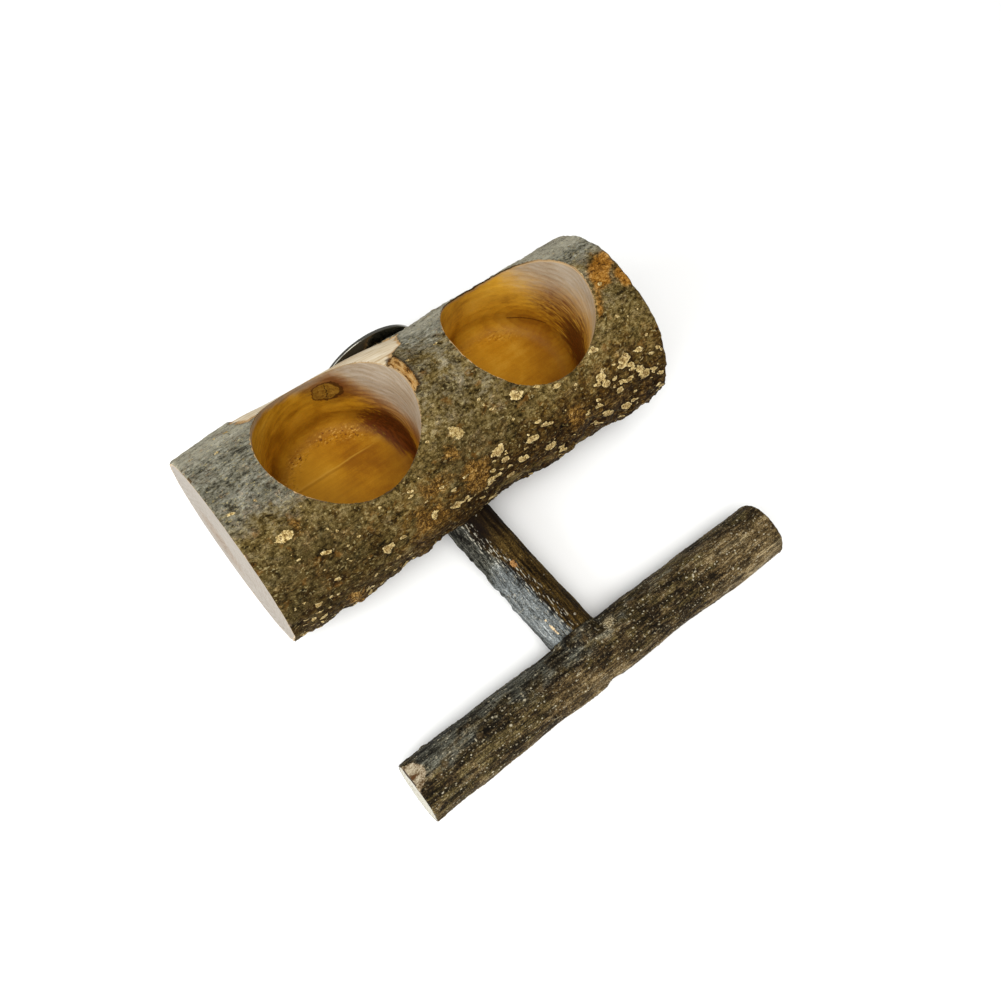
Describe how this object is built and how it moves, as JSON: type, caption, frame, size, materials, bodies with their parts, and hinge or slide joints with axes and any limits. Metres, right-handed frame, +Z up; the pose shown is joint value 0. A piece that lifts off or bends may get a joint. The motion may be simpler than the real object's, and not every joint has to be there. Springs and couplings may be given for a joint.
{
  "type": "bird feeding log with perch",
  "caption": "Bark-on log lying on its side with feeding cups bored into its top, a T-shaped branch perch in front, and a bolt, washer and wing nut behind that clamp it to cage bars.",
  "frame": {"origin": "centre of the footprint, on the table that the log and the cross branch stand on", "axes": "+X along the log, +Y towards the cage that the bolt clamps to, +Z up out of the cups"},
  "size_m": [0.1546, 0.1438, 0.0674],
  "materials": {
    "log_bark": "rough grey-brown bark, golden bare wood in the cups",
    "stem_bark": "ridged silver-grey and brown bark",
    "perch_bark": "dark brown bark with pale pores",
    "dowel_wood": "plain turned beech",
    "screw_steel": "yellow-grey zinc plate",
    "bolt_steel": "bright zinc plate",
    "washer_steel": "bright zinc plate, near mirror",
    "nut_steel": "bright zinc plate"
  },
  "bodies": {
    "stand": {"feeder_log": "log_bark", "perch_stem": "stem_bark", "stem_dowel": "dowel_wood", "perch_crossbar": "perch_bark", "crossbar_screw": "screw_steel", "hanger_bolt": "bolt_steel"},
    "clamp_washer": {"clamp_washer": "washer_steel"},
    "wing_nut": {"wing_nut": "nut_steel"}
  },
  "joints": [
    {"name": "clamp_slide", "type": "slide", "parent": "stand", "child": "clamp_washer", "axis": [0, 1, 0], "range_m": [0, 0.00551]},
    {"name": "nut_turn", "type": "hinge", "parent": "clamp_washer", "child": "wing_nut", "pos_m": [-0.00265, 0.06311, 0.02921], "axis": [0, 1, 0], "range_deg": [0, 1980]}
  ],
  "couplings": [
    {"joint": "clamp_slide", "follows": "nut_turn", "m_per_rad": 0.00015915}
  ]
}
